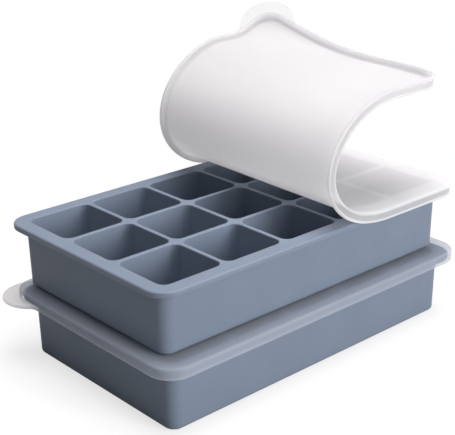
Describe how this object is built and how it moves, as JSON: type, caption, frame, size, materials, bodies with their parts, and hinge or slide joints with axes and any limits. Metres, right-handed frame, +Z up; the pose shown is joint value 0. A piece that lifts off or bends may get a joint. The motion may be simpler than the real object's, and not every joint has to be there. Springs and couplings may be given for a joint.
{
  "type": "silicone freezer mold",
  "caption": "Stacked pair of soft divided trays for freezing food portions, with translucent press-on lids, the top lid peeled back over itself.",
  "frame": {"origin": "centre of the lower tray's underside, on the surface it stands on", "axes": "+Z up, +X along the trays' long side towards the end where the top lid stays seated, +Y across the short side"},
  "size_m": [0.1921, 0.1242, 0.1393],
  "materials": {
    "tray_silicone": "matte",
    "lid_silicone": "satin"
  },
  "bodies": {
    "lower_tray": {"lower_tray": "tray_silicone"},
    "lower_lid": {"lower_lid": "lid_silicone"},
    "upper_tray": {"upper_tray": "tray_silicone"},
    "lid_seat": {"lid_seat": "lid_silicone"},
    "lid_strip_01": {"lid_strip_01": "lid_silicone"},
    "lid_strip_02": {"lid_strip_02": "lid_silicone"},
    "lid_strip_03": {"lid_strip_03": "lid_silicone"},
    "lid_strip_04": {"lid_strip_04": "lid_silicone"},
    "lid_strip_05": {"lid_strip_05": "lid_silicone"},
    "lid_strip_06": {"lid_strip_06": "lid_silicone"},
    "lid_strip_07": {"lid_strip_07": "lid_silicone"},
    "lid_strip_08": {"lid_strip_08": "lid_silicone"},
    "lid_strip_09": {"lid_strip_09": "lid_silicone"},
    "lid_strip_10": {"lid_strip_10": "lid_silicone"},
    "lid_strip_11": {"lid_strip_11": "lid_silicone"},
    "lid_strip_12": {"lid_strip_12": "lid_silicone"},
    "lid_panel": {"lid_panel": "lid_silicone"},
    "lid_corner": {"lid_corner": "lid_silicone"}
  },
  "joints": [
    {"name": "lower_lid_lift", "type": "slide", "parent": "lower_tray", "child": "lower_lid", "axis": [0, 0, 1], "range_m": [0, 0.04]},
    {"name": "upper_tray_lift", "type": "slide", "parent": "lower_lid", "child": "upper_tray", "axis": [0, 0, 1], "range_m": [0, 0.04]},
    {"name": "upper_lid_lift", "type": "slide", "parent": "upper_tray", "child": "lid_seat", "axis": [0, 0, 1], "range_m": [0, 0.04]},
    {"name": "lid_peel_01", "type": "hinge", "parent": "lid_seat", "child": "lid_strip_01", "pos_m": [0.0318, 0.0035, 0.0665], "axis": [-0.0288, -0.9996, 0], "range_deg": [0, 13.92]},
    {"name": "lid_peel_02", "type": "hinge", "parent": "lid_strip_01", "child": "lid_strip_02", "pos_m": [0.02209, 0.00349, 0.0689], "axis": [-0.0182, -0.9998, -0.0026], "range_deg": [0, 13.92]},
    {"name": "lid_peel_03", "type": "hinge", "parent": "lid_strip_02", "child": "lid_strip_03", "pos_m": [0.01479, 0.00347, 0.07276], "axis": [-0.0102, -0.9999, -0.0069], "range_deg": [0, 13.92]},
    {"name": "lid_peel_04", "type": "hinge", "parent": "lid_strip_03", "child": "lid_strip_04", "pos_m": [0.00975, 0.00343, 0.07726], "axis": [-0.0046, -0.9999, -0.0118], "range_deg": [0, 13.92]},
    {"name": "lid_peel_05", "type": "hinge", "parent": "lid_strip_04", "child": "lid_strip_05", "pos_m": [0.00662, 0.00338, 0.08184], "axis": [-0.0012, -0.9999, -0.0168], "range_deg": [0, 13.92]},
    {"name": "lid_peel_06", "type": "hinge", "parent": "lid_strip_05", "child": "lid_strip_06", "pos_m": [0.00499, 0.00333, 0.0862], "axis": [0.0006, -0.9998, -0.0216], "range_deg": [0, 13.92]},
    {"name": "lid_peel_07", "type": "hinge", "parent": "lid_strip_06", "child": "lid_strip_07", "pos_m": [0.00451, 0.00328, 0.09043], "axis": [0.0011, -0.9997, -0.0262], "range_deg": [0, 13.92]},
    {"name": "lid_peel_08", "type": "hinge", "parent": "lid_strip_07", "child": "lid_strip_08", "pos_m": [0.00512, 0.00323, 0.09512], "axis": [0.0004, -0.9995, -0.0314], "range_deg": [0, 13.92]},
    {"name": "lid_peel_09", "type": "hinge", "parent": "lid_strip_08", "child": "lid_strip_09", "pos_m": [0.00717, 0.00317, 0.10039], "axis": [-0.0018, -0.9993, -0.0371], "range_deg": [0, 13.92]},
    {"name": "lid_peel_10", "type": "hinge", "parent": "lid_strip_09", "child": "lid_strip_10", "pos_m": [0.01115, 0.00314, 0.10604], "axis": [-0.0062, -0.999, -0.0433], "range_deg": [0, 13.92]},
    {"name": "lid_peel_11", "type": "hinge", "parent": "lid_strip_10", "child": "lid_strip_11", "pos_m": [0.01753, 0.00314, 0.11155], "axis": [-0.0132, -0.9987, -0.0493], "range_deg": [0, 13.92]},
    {"name": "lid_peel_12", "type": "hinge", "parent": "lid_strip_11", "child": "lid_strip_12", "pos_m": [0.02662, 0.00323, 0.11618], "axis": [-0.0231, -0.9983, -0.0544], "range_deg": [0, 13.92]},
    {"name": "lid_peel_13", "type": "hinge", "parent": "lid_strip_12", "child": "lid_panel", "pos_m": [0.0385, 0.00346, 0.11895], "axis": [-0.0361, -0.9977, -0.0574], "range_deg": [0, 13.92]},
    {"name": "lid_corner_fold", "type": "hinge", "parent": "lid_panel", "child": "lid_corner", "pos_m": [0.07542, 0.01181, 0.12428], "axis": [-0.3978, 0.9155, 0.0592], "range_deg": [0, 34]}
  ]
}
